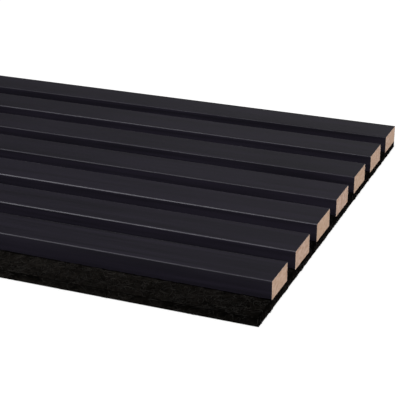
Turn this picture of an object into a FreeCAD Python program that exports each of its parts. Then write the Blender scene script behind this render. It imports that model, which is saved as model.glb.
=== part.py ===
"""Acoustic slat wall panel: wrapped fibreboard slats on a felt backing, stapled from behind.

Sizes are in millimetres. The panel lies on its back, with the middle of the felt's back face at the
origin. +X runs along the slats, +Z points from the wall into the room, and the felt's wide free margin
is on the -Y side. Slats are numbered from that margin.
"""
import FreeCAD, Part
import os

# Panel and felt backing
PANEL_LENGTH = 600.0
FELT_THICKNESS = 5.0
NEAR_MARGIN = 22.5  # felt left free beside the first slat
FAR_MARGIN = 0.3  # felt left beside the last slat

# Slats, measured over their wrap
SLAT_COUNT = 7
SLAT_WIDTH = 27.0
SLAT_HEIGHT = 12.0
SLAT_GAP = 14.7  # open groove between two slats
WRAP_THICKNESS = 0.3
WRAP_EDGE_RADIUS = 1.0  # outside radius where the wrap turns from the top to a side

# Staples, of flat wire
STAPLE_CROWN = 10.0  # width over both legs
WIRE_WIDTH = 1.2
WIRE_THICKNESS = 0.6
STAPLE_RECESS = 0.3  # depth of the crown below the felt's back face
STAPLE_COVER = 5.0  # board left between the tips of the legs and the wrap
STAPLE_PITCH = 100.0
STAPLE_END_DISTANCE = 50.0  # least distance from a staple to the end of its slat

# Derived sizes
SLAT_PITCH = SLAT_WIDTH + SLAT_GAP
PANEL_WIDTH = NEAR_MARGIN + SLAT_COUNT * SLAT_WIDTH + (SLAT_COUNT - 1) * SLAT_GAP + FAR_MARGIN
FIRST_SLAT_CENTRE = NEAR_MARGIN + SLAT_WIDTH / 2 - PANEL_WIDTH / 2
CORE_WIDTH = SLAT_WIDTH - 2 * WRAP_THICKNESS
CORE_HEIGHT = SLAT_HEIGHT - WRAP_THICKNESS
CORE_EDGE_RADIUS = max(WRAP_EDGE_RADIUS - WRAP_THICKNESS, 0.0)
LEG_TIP = FELT_THICKNESS + CORE_HEIGHT - STAPLE_COVER
STAPLE_RUN = PANEL_LENGTH - 2 * STAPLE_END_DISTANCE
ROUNDING = 1e-6  # keeps a whole number of pitches from being rounded down
STAPLE_ROWS = 1 + int(STAPLE_RUN / STAPLE_PITCH + ROUNDING)


def slat_centres():
    """The Y position of the middle of each slat, from the wide margin to the far side."""
    return [FIRST_SLAT_CENTRE + index * SLAT_PITCH for index in range(SLAT_COUNT)]


def staple_rows():
    """The X position of each row of staples, spread evenly about the middle of the panel."""
    first = -(STAPLE_ROWS - 1) * STAPLE_PITCH / 2
    return [first + row * STAPLE_PITCH for row in range(STAPLE_ROWS)]


def extruded(points, start_x, length):
    """A straight bar along X whose section is a closed polygon of (y, z) points."""
    corners = [FreeCAD.Vector(start_x, y, z) for y, z in points]
    section = Part.Face(Part.makePolygon(corners + corners[:1]))
    return section.extrude(FreeCAD.Vector(length, 0, 0))


def round_edges(bar, places, radius):
    """The bar with its long edges at these (y, z) places rounded."""
    tolerance = 1e-4
    chosen = []
    for edge in bar.Edges:
        middle = edge.CenterOfMass
        along_x = edge.BoundBox.XLength > max(edge.BoundBox.YLength, edge.BoundBox.ZLength)
        if along_x and any(abs(middle.y - y) + abs(middle.z - z) < tolerance for y, z in places):
            chosen.append(edge)
    return bar.makeFillet(radius, chosen)


def slat_bar(centre, width, height, edge_radius):
    """A bar that stands on the felt over the whole length, with both top edges rounded."""
    left, right = centre - width / 2, centre + width / 2
    bottom, top = FELT_THICKNESS, FELT_THICKNESS + height
    section = [(left, bottom), (right, bottom), (right, top), (left, top)]
    bar = extruded(section, -PANEL_LENGTH / 2, PANEL_LENGTH)
    return round_edges(bar, [(left, top), (right, top)], edge_radius) if edge_radius > 0 else bar


def bent_wire(x, centre, back):
    """A staple with square bends: its crown lies across the slat from the height back, legs towards +Z."""
    outer = STAPLE_CROWN / 2
    inner = outer - WIRE_THICKNESS
    crown_front = STAPLE_RECESS + WIRE_THICKNESS
    chisel_heel = LEG_TIP - WIRE_THICKNESS
    half = [(outer, back), (outer, chisel_heel), (inner, LEG_TIP), (inner, crown_front)]
    points = [(centre + y, z) for y, z in half] + [(centre - y, z) for y, z in reversed(half)]
    return extruded(points, x - WIRE_WIDTH / 2, WIRE_WIDTH)


def staple(x, centre):
    """A staple whose two bends are rounded on the outside."""
    bends = [(centre - STAPLE_CROWN / 2, STAPLE_RECESS), (centre + STAPLE_CROWN / 2, STAPLE_RECESS)]
    return round_edges(bent_wire(x, centre, STAPLE_RECESS), bends, WIRE_THICKNESS)


def staple_slot(x, centre):
    """The space that a staple takes up, open to the felt's back face."""
    return bent_wire(x, centre, 0.0)


def felt_backing(slots):
    """The felt sheet, slit where the staples pass through it."""
    corner = FreeCAD.Vector(-PANEL_LENGTH / 2, -PANEL_WIDTH / 2, 0)
    return Part.makeBox(PANEL_LENGTH, PANEL_WIDTH, FELT_THICKNESS, corner).cut(slots)


def save(shape, name):
    """Writes one piece of the panel."""
    shape.exportStep("parts/" + name + ".step")


os.makedirs("parts", exist_ok=True)
all_staples = []
all_slots = []
for number, centre in enumerate(slat_centres(), start=1):
    slots = [staple_slot(x, centre) for x in staple_rows()]
    outside = slat_bar(centre, SLAT_WIDTH, SLAT_HEIGHT, WRAP_EDGE_RADIUS)
    core = slat_bar(centre, CORE_WIDTH, CORE_HEIGHT, CORE_EDGE_RADIUS)
    save(outside.cut(core), "slat_wrap_" + str(number))
    save(core.cut(slots), "slat_core_" + str(number))
    all_staples += [staple(x, centre) for x in staple_rows()]
    all_slots += slots
save(felt_backing(all_slots), "felt_backing")
save(Part.makeCompound(all_staples), "staples")
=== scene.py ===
"""Looks of the acoustic slat wall panel, built around its solids.

Everything is in metres, in the panel's own frame: +X along the slats, +Z out of the wall, and the felt's
free margin on the -Y side.
"""
import math

import bpy
import numpy as np
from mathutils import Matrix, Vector, noise


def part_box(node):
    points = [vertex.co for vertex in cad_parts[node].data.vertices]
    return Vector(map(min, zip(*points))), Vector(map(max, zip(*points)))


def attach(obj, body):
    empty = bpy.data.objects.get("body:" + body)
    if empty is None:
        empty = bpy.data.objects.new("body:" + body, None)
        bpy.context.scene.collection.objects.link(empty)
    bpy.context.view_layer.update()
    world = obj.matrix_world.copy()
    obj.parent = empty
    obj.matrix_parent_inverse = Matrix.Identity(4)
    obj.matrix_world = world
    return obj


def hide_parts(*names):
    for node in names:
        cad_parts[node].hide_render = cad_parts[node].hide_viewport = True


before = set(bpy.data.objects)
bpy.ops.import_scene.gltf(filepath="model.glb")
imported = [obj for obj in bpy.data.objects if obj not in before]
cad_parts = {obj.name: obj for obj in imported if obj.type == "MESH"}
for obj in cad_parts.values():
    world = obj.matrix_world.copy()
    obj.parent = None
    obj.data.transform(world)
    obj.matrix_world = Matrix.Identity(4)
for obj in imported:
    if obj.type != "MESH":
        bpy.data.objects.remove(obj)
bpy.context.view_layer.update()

MM = 0.001
BODY = "root"

# Sizes and places taken from the solids
SLAT_COUNT = sum(name.startswith("slat_core_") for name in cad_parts)
SLAT_BOXES = [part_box(f"slat_wrap_{number}") for number in range(1, SLAT_COUNT + 1)]
SLAT_SIDES = [(low.y, high.y) for low, high in SLAT_BOXES]
SLAT_CENTRES = [(low + high) / 2 for low, high in SLAT_SIDES]
FELT_LOW, FELT_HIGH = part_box("felt_backing")
FELT_MARGIN = SLAT_SIDES[0][0] - FELT_LOW.y
STAPLES_LOW, STAPLES_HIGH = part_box("staples")
STAPLE_HALF_CROWN = SLAT_CENTRES[0] - STAPLES_LOW.y

# Film that wraps the slats
FILM_EDGE_RADIUS = 0.65 * MM
FILM_EDGE_STEPS = 8
FILM_FLAT_SUPPORT = 0.35 * MM  # flat strip beside each rounded edge that keeps the faces flat
FILM_STATION_SPACING = 20 * MM
FILM_SHARP_ANGLE = 40  # degrees between two faces above which their edge is shaded as sharp
FILM_DARK = (0.0074, 0.0066, 0.0099)
FILM_LIGHT = (0.0121, 0.0104, 0.0164)
# colour of the highlight painted on the film's folded edges
FILM_PAINTED_HIGHLIGHT = (0.115, 0.113, 0.127)
EDGE_PAINTED_HIGHLIGHT = (0.43, 0.91, 1.00, 0.36, 0.29, 0.49, 0.17)  # how strong the highlight painted on the folded edges of each slat is
EDGE_PAINTED_HIGHLIGHT_FADE = 0.6  # how much weaker that painted highlight is towards the ends of the slats

# Fibreboard and staple wire
BOARD_DARK = (0.335, 0.210, 0.150)
BOARD_MIDDLE = (0.430, 0.295, 0.228)
BOARD_LIGHT = (0.520, 0.375, 0.310)
BOARD_WARM = (0.46, 0.31, 0.20)
WIRE_DARK = (0.42, 0.42, 0.43)
WIRE_LIGHT = (0.62, 0.62, 0.63)

# Shape of the felt backing
FELT_EDGE_RADIUS = 0.6 * MM
FELT_BACK_EDGE_RADIUS = 0.4 * MM
FELT_STEP_ALONG = 1.75 * MM
FELT_STEP_ACROSS = 1.1 * MM
FELT_FOOT_STEPS = (0.25 * MM, 0.55 * MM, 1.5 * MM, 2.0 * MM, 2.5 * MM)  # extra rows beside a slat
FELT_SIDE_STEPS = 4
FELT_BACK_STEP = 5.5 * MM
FELT_RISE = 1.15 * MM  # height of the free felt beside a slat above the felt that is pressed under it
FELT_RISE_WIDTH = 0.25 * MM
FELT_DROOP = 0.95 * MM  # how far the free margin sinks from its first slat to its edge
FELT_FLARE = 0.9 * MM  # how far the cut leans outward towards the back along the near side
FELT_FLARE_REACH = 12 * MM
FELT_LUMPS = 0.26 * MM
FELT_LUMP_SIZE = 3.2 * MM
FELT_TUFTS = 0.20 * MM
FELT_TUFT_SIZE = 1.5 * MM
FELT_BACK_LUMPS = 0.15 * MM
FELT_SHARP_ANGLE = 60

# Colours of the felt, and the shade painted on it in creases, towards the margin's edge and on the cut
FELT_CREASE_SHADE = 0.88  # painted shade: how much darker the felt is in the crease at the foot of a slat
FELT_CREASE_WIDTH = 2.1 * MM
FELT_CREASE_POWER = 4  # how suddenly the shade painted in the crease ends
FELT_MARGIN_SHADE = 0.36  # painted shade: how much darker the felt is towards the edge of its margin, away from the slats
FELT_END_FADE = 0.56  # how much darker the felt is at its ends
FELT_CUT_SHADES = (0.50, 1.60)  # painted shade and light on the cut sides: darker at the front, lighter at the back
FELT_DARK = (0.0022, 0.0020, 0.0017)
FELT_LIGHT = (0.0150, 0.0132, 0.0116)

# Dimples that the staples leave in the felt's back
STAPLE_PITCH = 100 * MM
STAPLE_HALF_WIRE = 0.6 * MM
DIMPLE_DEPTH = 1.05 * MM
DIMPLE_WIDTH = 1.3 * MM
DIMPLE_STEPS = (0.4 * MM, 0.9 * MM, 1.5 * MM, 2.3 * MM)  # extra rows to each side of a staple

# Loose fibres on the felt
FIBRE_SEED = 7
FIBRES_PER_AREA = {"margin": 0.17e6, "grooves": 0.06e6, "sides": 0.17e6, "back": 0.02e6}  # per m2
FIBRE_POINTS = 8
FIBRE_SIDES = 3
FIBRE_LENGTHS = (3.0 * MM, 9.0 * MM)
FIBRE_RADII = (0.08 * MM, 0.19 * MM)
FIBRE_CURL = 2.6  # spread of the turn along a fibre, in radians
FIBRE_LIFT = (0.08 * MM, 0.40 * MM)
FIBRE_SINK = 0.10 * MM  # depth of a fibre's ends below the surface
FIBRE_SHARP_ANGLE = 80
FIBRE_TONE_POWER = 1.5  # above 1, pale fibres are fewer than dark ones
FIBRE_DARK = (0.0028, 0.0025, 0.0022)
FIBRE_LIGHT = (0.0218, 0.0193, 0.0170)
BAKE_MAP = "OFBake"  # name of the map that the looks of the fibres are baked on
BAKE_CELL_BORDER = 0.1  # share of a fibre's cell of that map that stays empty at each side

# Camera
CAMERA_PLACE = (0.4974, -0.7180, 0.3271)
CAMERA_AIM = (0.2197, -0.0356, 0.0170)
CAMERA_LENS = 113.2
CAMERA_SENSOR = 36.0
CAMERA_REACH = 200.0

# Studio, with the powers of its lamps in watts
LAMPS = (
    dict(name="side_softbox", place=(1.9, -0.1, 0.75), aim=(0.2, 0.0, 0.0), size=1.0, power=22.0),
    dict(name="front_softbox", place=(-0.06, -1.87, 2.08), aim=(0.1, 0.0, 0.0), size=2.6, power=108.0),
)
SURROUND = 0.01  # strength of the sky overhead
HORIZON = 1.0
HORIZON_LEAN = (0.0, 0.0, 1.0)
HORIZON_FADE = (0.03, 0.10)
PALE_SIDE = 0.35
PALE_SIDE_LEAN = (-1.0, 0.0, 0.6)
PALE_SIDE_FADE = (0.30, 0.90)
WHITE = (1.0, 1.0, 1.0)
FLOOR_GREY = (0.2, 0.2, 0.2)
FLOOR_GLOW = 0.85
FLOOR_REACH = 60.0
FLOOR_DROP = 1.0 * MM  # clear space between the floor and the felt

NOISE_MIDDLE = 0.5
NOISE_REACH = 0.2  # how far a noise usually strays from its middle
RING_SIDES = 4  # a place on the border of a grid runs from 0 to this
TINY = 1e-12  # keeps a length from being divided by nothing


# Materials
class Graph:
    """The nodes of a material or of the world, with short ways to add and join them."""

    def __init__(self, owner):
        self.owner = owner
        self.owner.use_nodes = True
        self.tree = owner.node_tree
        self.tree.nodes.clear()

    def add(self, kind, **settings):
        node = self.tree.nodes.new(kind)
        for name, value in settings.items():
            setattr(node, name, value)
        return node

    def feed(self, socket, value):
        """Joins an output to the socket, or sets the socket's own value."""
        if isinstance(value, bpy.types.NodeSocket):
            self.tree.links.new(value, socket)
        elif socket.type == "RGBA":
            socket.default_value = (*value, 1.0)
        else:
            socket.default_value = value

    def noise(self, cell, detail=3.0, roughness=0.55, distortion=0.0):
        """Cloudy noise whose cells have this size along X, Y and Z."""
        mapping = self.add("ShaderNodeMapping")
        self.feed(mapping.inputs["Vector"], self.add("ShaderNodeTexCoord").outputs["Object"])
        self.feed(mapping.inputs["Scale"], [1 / size for size in cell])
        texture = self.add("ShaderNodeTexNoise")
        self.feed(texture.inputs["Vector"], mapping.outputs["Vector"])
        self.feed(texture.inputs["Scale"], 1.0)
        self.feed(texture.inputs["Detail"], detail)
        self.feed(texture.inputs["Roughness"], roughness)
        self.feed(texture.inputs["Distortion"], distortion)
        return texture.outputs["Fac"]

    def ramp(self, factor, *stops):
        """Colour stops as (position, colour) over a factor."""
        node = self.add("ShaderNodeValToRGB")
        self.feed(node.inputs["Fac"], factor)
        elements = node.color_ramp.elements
        while len(elements) < len(stops):
            elements.new(1.0)
        for element, (position, colour) in zip(elements, stops):
            element.position = position
            element.color = (*colour, 1.0)
        return node.outputs["Color"]

    def remap(self, value, old_low, old_high, low, high, **settings):
        """A value that runs from low to high as the given one runs over its old range."""
        node = self.add("ShaderNodeMapRange", **settings)
        self.feed(node.inputs["Value"], value)
        self.feed(node.inputs["From Min"], old_low)
        self.feed(node.inputs["From Max"], old_high)
        self.feed(node.inputs["To Min"], low)
        self.feed(node.inputs["To Max"], high)
        return node.outputs["Result"]

    def spread(self, value, low, high, reach=NOISE_REACH):
        """A noise stretched so that its usual range runs from low to high."""
        return self.remap(value, NOISE_MIDDLE - reach, NOISE_MIDDLE + reach, low, high)

    def maths(self, operation, first, second):
        node = self.add("ShaderNodeMath", operation=operation)
        self.feed(node.inputs[0], first)
        self.feed(node.inputs[1], second)
        return node.outputs["Value"]

    def blend(self, first, second, share):
        """A share of the first value, and the rest of the second."""
        part = self.maths("MULTIPLY", first, share)
        rest = self.maths("MULTIPLY", second, 1 - share)
        return self.maths("ADD", part, rest)

    def mix(self, factor, first, second, blend_type="MIX"):
        """Two colours mixed; the node's sockets go by identifier, because they share their names."""
        node = self.add("ShaderNodeMix", data_type="RGBA", blend_type=blend_type)
        sockets = {socket.identifier: socket for socket in (*node.inputs, *node.outputs)}
        self.feed(sockets["Factor_Float"], factor)
        self.feed(sockets["A_Color"], first)
        self.feed(sockets["B_Color"], second)
        return sockets["Result_Color"]

    def attribute(self, name):
        return self.add("ShaderNodeAttribute", attribute_name=name).outputs["Fac"]

    def bump(self, height, distance, strength, normal=None):
        node = self.add("ShaderNodeBump")
        self.feed(node.inputs["Height"], height)
        self.feed(node.inputs["Distance"], distance)
        self.feed(node.inputs["Strength"], strength)
        if normal is not None:
            self.feed(node.inputs["Normal"], normal)
        return node.outputs["Normal"]

    def close(self, shader, kind="ShaderNodeOutputMaterial"):
        """Ends the graph in its owner's surface."""
        output = self.add(kind)
        self.feed(output.inputs["Surface"], shader)
        return self.owner

    def surface(self, **inputs):
        """Ends a material in a principled shader; input names use _ for a space."""
        shader = self.add("ShaderNodeBsdfPrincipled")
        for name, value in inputs.items():
            self.feed(shader.inputs[name.replace("_", " ")], value)
        return self.close(shader.outputs["BSDF"])


def film_material():
    """Satin black film with a faint lengthwise grain, and a highlight painted on its folded edges."""
    graph = Graph(bpy.data.materials.new("satin_black_film"))
    streaks = graph.noise((160 * MM, 2.6 * MM, 2.6 * MM), detail=4.0)
    clouds = graph.noise((90 * MM, 30 * MM, 30 * MM), detail=2.0)
    pores = graph.noise((9 * MM, 0.55 * MM, 0.55 * MM), detail=2.0)
    # unevenness of the highlight painted along the edges
    highlight_unevenness = graph.noise((14 * MM, 4 * MM, 4 * MM), detail=3.0)
    tone = graph.blend(streaks, clouds, share=0.7)
    colour = graph.ramp(tone, (0.40, FILM_DARK), (0.60, FILM_LIGHT))
    # the highlight painted on the folded edges, mixed into the film's colour
    edge_highlight = graph.maths("MULTIPLY", graph.attribute("edge_highlight"), graph.spread(highlight_unevenness, low=0.75, high=1.15))
    highlighted = graph.mix(edge_highlight, colour, FILM_PAINTED_HIGHLIGHT)
    roughness = graph.spread(graph.blend(streaks, pores, share=0.5), low=0.30, high=0.40)
    relief = graph.bump(pores, distance=0.02 * MM, strength=0.35)
    return graph.surface(Base_Color=highlighted, Roughness=roughness, Normal=relief, Specular_IOR_Level=0.08)


def board_material():
    """Bare sawn fibreboard: fine fibres, soft blotches, a tone for each slat and faint saw marks."""
    graph = Graph(bpy.data.materials.new("bare_fibreboard"))
    fibres = graph.noise((0.5 * MM, 0.9 * MM, 0.22 * MM), detail=4.0, roughness=0.65)
    blotches = graph.noise((5 * MM, 4 * MM, 2.4 * MM), detail=2.0)
    slats = graph.noise((900 * MM, 55 * MM, 900 * MM), detail=0.0)
    saw = graph.noise((30 * MM, 0.35 * MM, 12 * MM), detail=2.0)
    tone = graph.blend(fibres, blotches, share=0.4)
    colour = graph.ramp(tone, (0.38, BOARD_DARK), (0.50, BOARD_MIDDLE), (0.62, BOARD_LIGHT))
    warm = graph.mix(graph.spread(slats, low=0.0, high=0.5), colour, BOARD_WARM)
    roughness = graph.spread(fibres, low=0.78, high=0.95)
    relief = graph.bump(fibres, distance=0.10 * MM, strength=0.5)
    sawn = graph.bump(saw, distance=0.06 * MM, strength=0.15, normal=relief)
    return graph.surface(Base_Color=warm, Roughness=roughness, Normal=sawn, Specular_IOR_Level=0.2)


def felt_material():
    """Needled black felt: matted fibres, darker between the tufts, with shade painted in creases and on
    the cut.
    """
    graph = Graph(bpy.data.materials.new("black_needle_felt"))
    tufts = graph.noise((3.4 * MM, 2.6 * MM, 2.6 * MM), detail=5.0, roughness=0.65, distortion=1.6)
    hairs = graph.noise((0.9 * MM, 0.5 * MM, 0.5 * MM), detail=3.0, roughness=0.6, distortion=2.0)
    patches = graph.noise((11 * MM, 8 * MM, 8 * MM), detail=2.0)
    tone = graph.blend(tufts, hairs, share=0.65)
    colour = graph.ramp(tone, (0.40, FELT_DARK), (0.62, FELT_LIGHT))
    patchy = graph.spread(patches, low=0.65, high=1.25, reach=0.15)
    # the shade painted on the mesh, with uneven patches of the felt's own tone
    shade = graph.maths("MULTIPLY", graph.attribute("shade"), patchy)
    shaded = graph.mix(1.0, colour, shade, blend_type="MULTIPLY")
    roughness = graph.spread(hairs, low=0.9, high=1.0)
    relief = graph.bump(tone, distance=0.5 * MM, strength=0.9)
    return graph.surface(Base_Color=shaded, Roughness=roughness, Normal=relief, Specular_IOR_Level=0.0)


def fibre_material():
    """Single fibres, from black to a dull brown, each a little uneven along its length."""
    graph = Graph(bpy.data.materials.new("felt_fibres"))
    uneven = graph.noise((0.8 * MM, 0.8 * MM, 0.8 * MM), detail=2.0)
    tone = graph.maths("MULTIPLY", graph.attribute("tone"), graph.spread(uneven, low=0.7, high=1.1))
    colour = graph.ramp(tone, (0.0, FIBRE_DARK), (1.0, FIBRE_LIGHT))
    roughness = graph.spread(uneven, low=0.75, high=0.95)
    relief = graph.bump(uneven, distance=0.02 * MM, strength=0.4)
    return graph.surface(Base_Color=colour, Roughness=roughness, Normal=relief, Specular_IOR_Level=0.1)


def wire_material():
    """Galvanised staple wire with fine drawing marks."""
    graph = Graph(bpy.data.materials.new("galvanised_wire"))
    drawn = graph.noise((0.12 * MM, 1.5 * MM, 1.5 * MM), detail=3.0)
    spangle = graph.noise((0.8 * MM, 0.8 * MM, 0.8 * MM), detail=2.0)
    colour = graph.ramp(spangle, (0.3, WIRE_DARK), (0.7, WIRE_LIGHT))
    roughness = graph.spread(drawn, low=0.28, high=0.48)
    relief = graph.bump(drawn, distance=0.01 * MM, strength=0.4)
    return graph.surface(Base_Color=colour, Metallic=1.0, Roughness=roughness, Normal=relief)


def floor_material():
    """A pale floor, white to the camera and in reflections, that takes shadows; clear from below."""
    graph = Graph(bpy.data.materials.new("pale_floor"))
    diffuse = graph.add("ShaderNodeBsdfDiffuse")
    graph.feed(diffuse.inputs["Color"], FLOOR_GREY)
    path = graph.add("ShaderNodeLightPath")
    seen = graph.maths("MAXIMUM", path.outputs["Is Camera Ray"], path.outputs["Is Glossy Ray"])
    seen = graph.maths("MAXIMUM", seen, path.outputs["Is Transmission Ray"])
    glow = graph.add("ShaderNodeEmission")
    graph.feed(glow.inputs["Strength"], graph.maths("MULTIPLY", seen, FLOOR_GLOW))
    lit = graph.add("ShaderNodeAddShader")
    graph.feed(lit.inputs[0], diffuse.outputs["BSDF"])
    graph.feed(lit.inputs[1], glow.outputs["Emission"])
    one_sided = graph.add("ShaderNodeMixShader")
    graph.feed(one_sided.inputs["Fac"], graph.add("ShaderNodeNewGeometry").outputs["Backfacing"])
    graph.feed(one_sided.inputs[1], lit.outputs["Shader"])
    graph.feed(one_sided.inputs[2], graph.add("ShaderNodeBsdfTransparent").outputs["BSDF"])
    return graph.close(one_sided.outputs["Shader"])


# Making pieces
def new_piece(name, points, faces, material, slot, *nodes):
    """A mesh piece of the panel, which takes the place of these solids."""
    mesh = bpy.data.meshes.new(name)
    mesh.from_pydata(points, [], faces)
    mesh.validate()
    mesh.materials.append(material)
    piece = bpy.data.objects.new(name, mesh)
    bpy.context.scene.collection.objects.link(piece)
    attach(piece, BODY)
    if nodes:
        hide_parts(*nodes)
    return piece


def give(node, material):
    """Puts a material on one of the panel's own solids."""
    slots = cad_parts[node].data.materials
    slots.clear()
    slots.append(material)


def smooth_to(piece, angle):
    """Smooth shading, with creases where faces meet at more than this angle."""
    mesh = piece.data
    mesh.polygons.foreach_set("use_smooth", [True] * len(mesh.polygons))
    mesh.set_sharp_from_angle(angle=math.radians(angle))


def give_values(piece, name, values):
    """Stores one number for each point of the piece, for its material to read."""
    attribute = piece.data.attributes.new(name, "FLOAT", "POINT")
    attribute.data.foreach_set("value", values)


def even_steps(low, high, step):
    """Places from low to high, about a step apart."""
    count = max(1, round((high - low) / step))
    return [low + (high - low) * index / count for index in range(count + 1)]


# Film
def film_outline(low, high, thickness):
    """(outer, inner, fold) round the film's section, from one foot over the top to the other.

    Points are (y, z), and fold is 1 in the middle of a rounded edge and 0 on the flats.
    """
    centre_y, centre_z = low.y + FILM_EDGE_RADIUS, high.z - FILM_EDGE_RADIUS
    knee, shoulder = centre_z - FILM_FLAT_SUPPORT, centre_y + FILM_FLAT_SUPPORT
    half = [((low.y, z), (low.y + thickness, z), 0.0) for z in (low.z, knee)]
    for step in range(FILM_EDGE_STEPS + 1):
        turn = step / FILM_EDGE_STEPS
        across, up = -math.cos(turn * math.pi / 2), math.sin(turn * math.pi / 2)
        outer, inner = [
            (centre_y + radius * across, centre_z + radius * up)
            for radius in (FILM_EDGE_RADIUS, FILM_EDGE_RADIUS - thickness)
        ]
        half.append((outer, inner, math.sin(turn * math.pi)))
    half.append(((shoulder, high.z), (shoulder, high.z - thickness), 0.0))
    both = low.y + high.y
    mirrored = [
        ((both - outer_y, outer_z), (both - inner_y, inner_z), fold)
        for (outer_y, outer_z), (inner_y, inner_z), fold in reversed(half)
    ]
    return half + mirrored


def film(number, material):
    """The film folded over one slat, as a thin closed shell."""
    low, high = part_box(f"slat_wrap_{number}")
    core_low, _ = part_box(f"slat_core_{number}")
    outline = film_outline(low, high, core_low.y - low.y)
    ring = [outer for outer, _, _ in outline] + [inner for _, inner, _ in reversed(outline)]
    folds = [fold for _, _, fold in outline]
    ring_folds = folds + folds[::-1]
    stations = even_steps(low.x, high.x, FILM_STATION_SPACING)
    points = [(x, y, z) for x in stations for y, z in ring]
    size = len(ring)
    faces = []
    for station in range(len(stations) - 1):
        here, there = station * size, (station + 1) * size
        for index in range(size):
            following = (index + 1) % size
            faces.append((here + index, there + index, there + following, here + following))
    last = (len(stations) - 1) * size
    for index in range(len(outline) - 1):
        outer, inner = index, size - 1 - index
        faces.append((outer, outer + 1, inner - 1, inner))
        faces.append((last + inner, last + inner - 1, last + outer + 1, last + outer))
    piece = new_piece(f"film_{number}", points, faces, material, "black_wrap", f"slat_wrap_{number}")
    # a highlight painted on the rounded edges, with a strength for each slat, weaker towards its ends
    strongest_highlight = EDGE_PAINTED_HIGHLIGHT[(number - 1) % len(EDGE_PAINTED_HIGHLIGHT)]
    highlight_strengths = [strongest_highlight * (1 - EDGE_PAINTED_HIGHLIGHT_FADE * (x / high.x) ** 2) for x in stations]
    give_values(piece, "edge_highlight", [highlight_strength * fold for highlight_strength in highlight_strengths for fold in ring_folds])
    smooth_to(piece, FILM_SHARP_ANGLE)


# Felt sheet
class Sheet:
    """Points and faces of a mesh in the making, with a painted shade for each point."""

    def __init__(self):
        self.points = []
        self.shades = []
        self.faces = []

    def point(self, place, shade):
        self.points.append(place)
        self.shades.append(shade)
        return len(self.points) - 1

    def grid(self, columns, rows, place, turned=False):
        """Faces over these X and Y places, where place(x, y) gives a point and its shade.

        Returns the numbers of the points, row by row.
        """
        numbers = [[self.point(*place(x, y)) for x in columns] for y in rows]
        for near, far in zip(numbers, numbers[1:]):
            for a, b, c, d in zip(near, near[1:], far[1:], far):
                self.faces.append((d, c, b, a) if turned else (a, b, c, d))
        return numbers

    def strip(self, upper, lower):
        """Faces between two closed rings with the same number of points."""
        for a, b, c, d in zip(upper, lower, lower[1:] + lower[:1], upper[1:] + upper[:1]):
            self.faces.append((a, b, c, d))

    def zip_up(self, upper, lower):
        """Triangles between two closed rings of (place round the ring, point number)."""
        upper_loop = upper + [(RING_SIDES, upper[0][1])]
        lower_loop = lower + [(RING_SIDES, lower[0][1])]
        a, b = 0, 0
        while a < len(upper) or b < len(lower):
            here, there = upper_loop[a][1], lower_loop[b][1]
            if b == len(lower) or (a < len(upper) and upper_loop[a + 1][0] <= lower_loop[b + 1][0]):
                a += 1
                self.faces.append((here, there, upper_loop[a][1]))
            else:
                b += 1
                self.faces.append((here, there, lower_loop[b][1]))


def border(grid):
    """The outer ring of a grid, anticlockwise from above, as (side and share of it, value)."""
    sides = [
        grid[0][:-1],
        [row[-1] for row in grid[:-1]],
        grid[-1][:0:-1],
        [row[0] for row in grid[:0:-1]],
    ]
    ring = []
    for side, values in enumerate(sides):
        ring += [(side + index / len(values), value) for index, value in enumerate(values)]
    return ring


def foot_distance(y):
    """How far this place across the panel is from the nearest slat, 0 under one."""
    return min(max(low - y, y - high, 0.0) for low, high in SLAT_SIDES)


def relief(point):
    """Height of the felt's lumps and tufts at a point."""
    lumps = FELT_LUMPS * noise.noise(point / FELT_LUMP_SIZE)
    tufts = FELT_TUFTS * noise.noise(point / FELT_TUFT_SIZE)
    return lumps + tufts


def fade(x, y):
    """Tone of the felt: darker towards its ends, and darker towards the edge of its margin as painted
    shade.
    """
    along = 1 - FELT_END_FADE * (x / FELT_HIGH.x) ** 2
    # painted shade, deepening away from the slats
    across = 1 - FELT_MARGIN_SHADE * foot_distance(y) / FELT_MARGIN
    return along * across


def felt_front(x, y):
    """(point, painted shade) on the felt's front, which swells beside the slats and is creased at their
    feet.
    """
    distance = foot_distance(y)
    free = 1 - math.exp(-distance / FELT_RISE_WIDTH)
    # shade painted in the crease at the foot of a slat
    crease_shade = FELT_CREASE_SHADE * math.exp(-((distance / FELT_CREASE_WIDTH) ** FELT_CREASE_POWER))
    place = Vector((x, y, FELT_HIGH.z))
    place.z += free * (FELT_RISE - FELT_DROOP * distance / FELT_MARGIN + relief(place))
    return place, (1 - crease_shade) * fade(x, y)


def flare(y):
    """How far the felt's foot stands out past its upper edge: most on the near side, 0 at the far one."""
    return FELT_FLARE * (FELT_HIGH.y - y) / (FELT_HIGH.y - FELT_LOW.y)


def near_border(distance):
    """1 at the felt's border, falling to 0 further in."""
    return max(0.0, 1 - distance / FELT_FLARE_REACH)


# X places of the rows of staples
STAPLE_ROWS = even_steps(
    STAPLES_LOW.x + STAPLE_HALF_WIRE, STAPLES_HIGH.x - STAPLE_HALF_WIRE, STAPLE_PITCH
)


def dimple(x, y):
    """Depth of the dimple in the felt's back round the nearest staple."""
    past_wire = max(min(abs(x - row) for row in STAPLE_ROWS) - STAPLE_HALF_WIRE, 0.0)
    past_crown = max(min(abs(y - centre) for centre in SLAT_CENTRES) - STAPLE_HALF_CROWN, 0.0)
    share = min(math.hypot(past_wire, past_crown) / DIMPLE_WIDTH, 1.0)
    smooth_share = share * share * (3 - 2 * share)
    return DIMPLE_DEPTH * (1 - smooth_share)


def felt_back(x, y):
    """(point, shade) on the felt's back, dimpled round the staples and spread out to its flared foot."""
    out = flare(y)
    place = Vector((x, y, FELT_LOW.z))
    lumps = FELT_BACK_LUMPS * (1 + noise.noise(place / FELT_LUMP_SIZE)) / 2
    edge = max(near_border(x - FELT_LOW.x), near_border(FELT_HIGH.x - x), near_border(y - FELT_LOW.y))
    place.z += lumps * (1 - edge) + dimple(x, y)
    place.x += out * (near_border(FELT_HIGH.x - x) - near_border(x - FELT_LOW.x))
    place.y -= out * near_border(y - FELT_LOW.y)
    return place, 1.0


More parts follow.
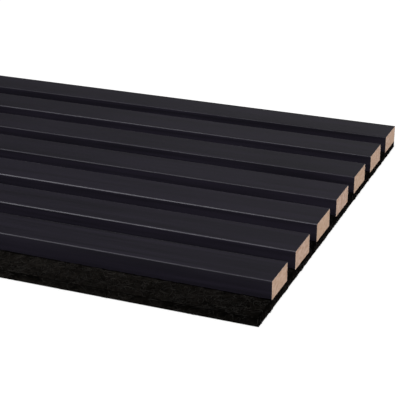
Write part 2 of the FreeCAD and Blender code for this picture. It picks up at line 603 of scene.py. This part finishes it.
def felt_side(sheet, ring):
    """Adds the felt's cut sides below the ring round its front, and returns the lowest ring."""
    front_shade, back_shade = FELT_CUT_SHADES
    halfway = math.sin(math.pi / 4)
    # Each ring's shares of the edge radius, outward and downward, and of the way down the cut
    shares = [(halfway, 1 - halfway, 0.0)]
    shares += [(1.0, 1.0, step / FELT_SIDE_STEPS) for step in range(FELT_SIDE_STEPS + 1)]
    corners = [sheet.points[number] for number in ring]
    low = [min(corner[axis] for corner in corners) for axis in (0, 1)]
    high = [max(corner[axis] for corner in corners) for axis in (0, 1)]
    for out, fall, share in shares:
        new_ring = []
        for corner in corners:
            outward = Vector((0.0, 0.0, 0.0))
            for axis in (0, 1):
                outward[axis] = (corner[axis] == high[axis]) - (corner[axis] == low[axis])
            top = corner.z - FELT_EDGE_RADIUS * fall
            place = corner + outward * (FELT_EDGE_RADIUS * out + flare(corner.y) * share)
            place.z = top + share * (FELT_LOW.z + FELT_BACK_EDGE_RADIUS - top)
            if 0.0 < share < 1.0:
                place += outward * relief(place)
            # painted shading on the cut, from dark at the front to lighter at the back
            shade = front_shade + share * (back_shade - front_shade)
            new_ring.append(sheet.point(place, shade * fade(place.x, place.y)))
        sheet.strip(ring, new_ring)
        ring = new_ring
    return ring


def felt_columns_and_rows():
    """X and Y places of the felt's front: close together where it shows, closest along the slats."""
    columns = even_steps(FELT_LOW.x + FELT_EDGE_RADIUS, FELT_HIGH.x - FELT_EDGE_RADIUS, FELT_STEP_ALONG)
    first, last = FELT_LOW.y + FELT_EDGE_RADIUS, FELT_HIGH.y - FELT_EDGE_RADIUS
    rows = {first, last}
    edge = first
    for low, high in SLAT_SIDES:
        rows.update(even_steps(edge, low, FELT_STEP_ACROSS))
        rows.update(low - step for step in FELT_FOOT_STEPS)
        rows.update(high + step for step in FELT_FOOT_STEPS)
        edge = high
    return columns, sorted(row for row in rows if first <= row <= last)


def felt_back_columns_and_rows():
    """X and Y places of the felt's back, closest round the staples."""
    inset = FELT_BACK_EDGE_RADIUS
    columns = set(even_steps(FELT_LOW.x + inset, FELT_HIGH.x - inset, FELT_BACK_STEP))
    rows = set(even_steps(FELT_LOW.y + inset, FELT_HIGH.y - inset, FELT_BACK_STEP))
    crown = (-STAPLE_HALF_CROWN, STAPLE_HALF_CROWN)
    crown_ends = [centre + end for centre in SLAT_CENTRES for end in crown]
    for places, middles in ((columns, STAPLE_ROWS), (rows, crown_ends)):
        for step in DIMPLE_STEPS:
            places.update(middle - step for middle in middles)
            places.update(middle + step for middle in middles)
    return sorted(columns), sorted(rows)


def felt(material):
    """The felt sheet: a closed slab with a lumpy front, soft cut sides and a dimpled back."""
    sheet = Sheet()
    front = sheet.grid(*felt_columns_and_rows(), felt_front)
    back = sheet.grid(*felt_back_columns_and_rows(), felt_back, turned=True)
    front_border = border(front)
    foot = felt_side(sheet, [number for _, number in front_border])
    foot_border = [(place, number) for (place, _), number in zip(front_border, foot)]
    sheet.zip_up(foot_border, border(back))
    piece = new_piece("felt_sheet", sheet.points, sheet.faces, material, "felt", "felt_backing")
    # shade painted in creases, towards the margin's edge and on the cut
    give_values(piece, "shade", sheet.shades)
    smooth_to(piece, FELT_SHARP_ANGLE)


# Loose fibres
def fibre_paths(rng, count, low, high):
    """Curly paths over a rectangle, as arrays of u, v and lift with a row for each fibre."""
    steps = np.linspace(0.0, 1.0, FIBRE_POINTS)
    stride = rng.uniform(*FIBRE_LENGTHS, (count, 1)) / FIBRE_POINTS
    heading = rng.uniform(0.0, math.tau, (count, 1)) + rng.normal(0.0, FIBRE_CURL, (count, 1)) * steps
    u = rng.uniform(low[0], high[0], (count, 1)) + np.cumsum(np.cos(heading), axis=1) * stride
    v = rng.uniform(low[1], high[1], (count, 1)) + np.cumsum(np.sin(heading), axis=1) * stride
    lift = rng.uniform(*FIBRE_LIFT, (count, 1)) * np.sin(math.pi * steps) - FIBRE_SINK
    return np.clip(u, low[0], high[0]), np.clip(v, low[1], high[1]), lift


def front_fibres(rng, per_area, strips):
    """(paths, outward) of fibres on strips of the felt's front, each given by its lower and upper Y."""
    paths = []
    for low_y, high_y in strips:
        count = int(per_area * (high_y - low_y) * (FELT_HIGH.x - FELT_LOW.x))
        u, v, lift = fibre_paths(rng, count, (FELT_LOW.x, low_y), (FELT_HIGH.x, high_y))
        heights = [[felt_front(x, y)[0].z for x, y in zip(*row)] for row in zip(u, v)]
        paths.append(np.stack([u, v, np.array(heights) + lift], axis=-1))
    return [(np.concatenate(paths), (0.0, 0.0, 1.0))]


def side_fibres(rng, per_area):
    """(paths, outward) of fibres on each of the felt's four cut sides."""
    groups = []
    low_z, high_z = FELT_LOW.z + FELT_BACK_EDGE_RADIUS, FELT_HIGH.z - FELT_EDGE_RADIUS
    for along, across in ((0, 1), (1, 0)):
        low, high = FELT_LOW[along], FELT_HIGH[along]
        count = int(per_area * (high - low) * (high_z - low_z))
        for edge, sign in ((FELT_LOW[across], -1.0), (FELT_HIGH[across], 1.0)):
            u, z, lift = fibre_paths(rng, count, (low, low_z), (high, high_z))
            lean = flare(u if along == 1 else edge) * (high_z - z) / (high_z - low_z)
            path = np.empty((count, FIBRE_POINTS, 3))
            path[..., along] = u
            path[..., across] = edge + sign * (lean + lift)
            path[..., 2] = z
            outward = [0.0, 0.0, 0.0]
            outward[across] = sign
            groups.append((path, outward))
    return groups


def back_fibres(rng, per_area):
    """(paths, outward) of fibres on the felt's back, away from its border."""
    inset = Vector((FELT_FLARE_REACH, FELT_FLARE_REACH))
    low, high = FELT_LOW.xy + inset, FELT_HIGH.xy - inset
    count = int(per_area * (high.x - low.x) * (high.y - low.y))
    u, v, lift = fibre_paths(rng, count, low, high)
    heights = [[felt_back(x, y)[0].z for x, y in zip(*row)] for row in zip(u, v)]
    depth = np.maximum(np.array(heights) - lift, FELT_LOW.z)
    return [(np.stack([u, v, depth], axis=-1), (0.0, 0.0, -1.0))]


def tube_points(rng, paths, outward):
    """Points of a thin closed tube round each path."""
    along = np.gradient(paths, axis=1)
    along /= np.linalg.norm(along, axis=-1, keepdims=True) + TINY
    aside = np.cross(along, outward)
    aside /= np.linalg.norm(aside, axis=-1, keepdims=True) + TINY
    upward = np.cross(aside, along)
    radius = rng.uniform(*FIBRE_RADII, (len(paths), 1, 1))
    turns = math.tau * np.arange(FIBRE_SIDES) / FIBRE_SIDES
    rings = [paths + radius * (math.cos(turn) * aside + math.sin(turn) * upward) for turn in turns]
    return np.stack(rings, axis=2).reshape(-1, 3)


def fibre_faces():
    """Faces of one fibre, with corners as (point along it, place round it).

    The place past the last one is the first again.
    """
    last, ring = FIBRE_POINTS - 1, range(FIBRE_SIDES)
    quads = [[(p, k), (p + 1, k), (p + 1, k + 1), (p, k + 1)] for p in range(last) for k in ring]
    caps = [[(0, k) for k in ring], [(last, k) for k in reversed(ring)]]
    return quads + caps


def fibre_map(piece, count):
    """A bake map in which every fibre has a cell of a square grid to itself."""
    cells = math.ceil(math.sqrt(count))
    corners = np.array([corner for face in fibre_faces() for corner in face], dtype=float)
    inside = BAKE_CELL_BORDER + (1 - 2 * BAKE_CELL_BORDER) * corners / (FIBRE_POINTS - 1, FIBRE_SIDES)
    number = np.arange(count)
    cell = np.stack([number % cells, number // cells], axis=-1)
    layer = piece.data.uv_layers.new(name=BAKE_MAP)
    layer.data.foreach_set("uv", ((cell[:, None, :] + inside) / cells).ravel())


def fibres(name, rng, groups, material):
    """Loose fibres as one piece, with a tone for each."""
    points = np.concatenate([tube_points(rng, paths, outward) for paths, outward in groups])
    size = FIBRE_SIDES * FIBRE_POINTS
    count = len(points) // size
    one_fibre = [[p * FIBRE_SIDES + k % FIBRE_SIDES for p, k in face] for face in fibre_faces()]
    starts = range(0, count * size, size)
    faces = [[start + number for number in face] for start in starts for face in one_fibre]
    piece = new_piece(name, points.tolist(), faces, material, "felt")
    # the fibres take the felt's painted shade and its darkening towards the ends
    fades = [fade(x, y) for x, y, _ in points[::size]]
    tones = rng.uniform(0.0, 1.0, count) ** FIBRE_TONE_POWER * fades
    give_values(piece, "tone", np.repeat(tones, size))
    fibre_map(piece, count)
    smooth_to(piece, FIBRE_SHARP_ANGLE)


# Studio and camera
def turned_to(name, data, place, aim):
    """A lamp or camera at a place, turned to a point."""
    thing = bpy.data.objects.new(name, data)
    thing.location = place
    thing.rotation_mode = "QUATERNION"
    thing.rotation_quaternion = (Vector(aim) - Vector(place)).to_track_quat("-Z", "Y")
    bpy.context.scene.collection.objects.link(thing)
    return thing


def area_lamp(name, place, aim, size, power):
    """A square softbox."""
    data = bpy.data.lights.new(name, "AREA")
    data.shape = "SQUARE"
    data.size = size
    data.energy = power
    turned_to(name, data, place, aim)


def floor():
    """A plain floor under the panel, reaching to the horizon."""
    height = FELT_LOW.z - FLOOR_DROP
    corners = ((-1, -1), (1, -1), (1, 1), (-1, 1))
    points = [(x * FLOOR_REACH, y * FLOOR_REACH, height) for x, y in corners]
    mesh = bpy.data.meshes.new("floor")
    mesh.from_pydata(points, [], [(0, 1, 2, 3)])
    mesh.materials.append(floor_material())
    plane = bpy.data.objects.new("floor", mesh)
    bpy.context.scene.collection.objects.link(plane)


def sky():
    """A dim surround, white at the horizon and paler low down and towards +X."""
    world = bpy.data.worlds.new("studio")
    bpy.context.scene.world = world
    graph = Graph(world)
    direction = graph.add("ShaderNodeTexCoord").outputs["Generated"]

    def fading(lean, fade_range, bright):
        """A tone that falls from bright to the dim surround as the direction turns to a leaning axis."""
        product = graph.add("ShaderNodeVectorMath", operation="DOT_PRODUCT")
        graph.feed(product.inputs[0], direction)
        graph.feed(product.inputs[1], lean)
        height = product.outputs["Value"]
        return graph.remap(height, *fade_range, bright, SURROUND, interpolation_type="SMOOTHSTEP")

    horizon = fading(HORIZON_LEAN, HORIZON_FADE, HORIZON)
    pale_side = fading(PALE_SIDE_LEAN, PALE_SIDE_FADE, PALE_SIDE)
    background = graph.add("ShaderNodeBackground")
    graph.feed(background.inputs["Color"], WHITE)
    graph.feed(background.inputs["Strength"], graph.maths("MAXIMUM", horizon, pale_side))
    graph.close(background.outputs["Background"], "ShaderNodeOutputWorld")


def camera():
    """The photograph's view."""
    data = bpy.data.cameras.new("view")
    data.lens = CAMERA_LENS
    data.sensor_width = CAMERA_SENSOR
    data.clip_end = CAMERA_REACH
    bpy.context.scene.camera = turned_to("view", data, CAMERA_PLACE, CAMERA_AIM)


# The scene
camera()
sky()
floor()
for lamp in LAMPS:
    area_lamp(**lamp)

film_look = film_material()
board_look = board_material()
for slat in range(1, SLAT_COUNT + 1):
    film(slat, film_look)
    give(f"slat_core_{slat}", board_look)
felt(felt_material())
give("staples", wire_material())

# Fibres, on strips of the front that keep clear of the creases
fibre_look = fibre_material()
rng = np.random.default_rng(FIBRE_SEED)
margin = [(FELT_LOW.y, SLAT_SIDES[0][0] - FELT_CREASE_WIDTH)]
grooves = [
    (near[1] + FELT_CREASE_WIDTH, far[0] - FELT_CREASE_WIDTH)
    for near, far in zip(SLAT_SIDES, SLAT_SIDES[1:])
]
fibres("margin_fibres", rng, front_fibres(rng, FIBRES_PER_AREA["margin"], margin), fibre_look)
fibres("groove_fibres", rng, front_fibres(rng, FIBRES_PER_AREA["grooves"], grooves), fibre_look)
fibres("side_fibres", rng, side_fibres(rng, FIBRES_PER_AREA["sides"]), fibre_look)
fibres("back_fibres", rng, back_fibres(rng, FIBRES_PER_AREA["back"]), fibre_look)

bpy.context.scene.view_settings.view_transform = "Standard"
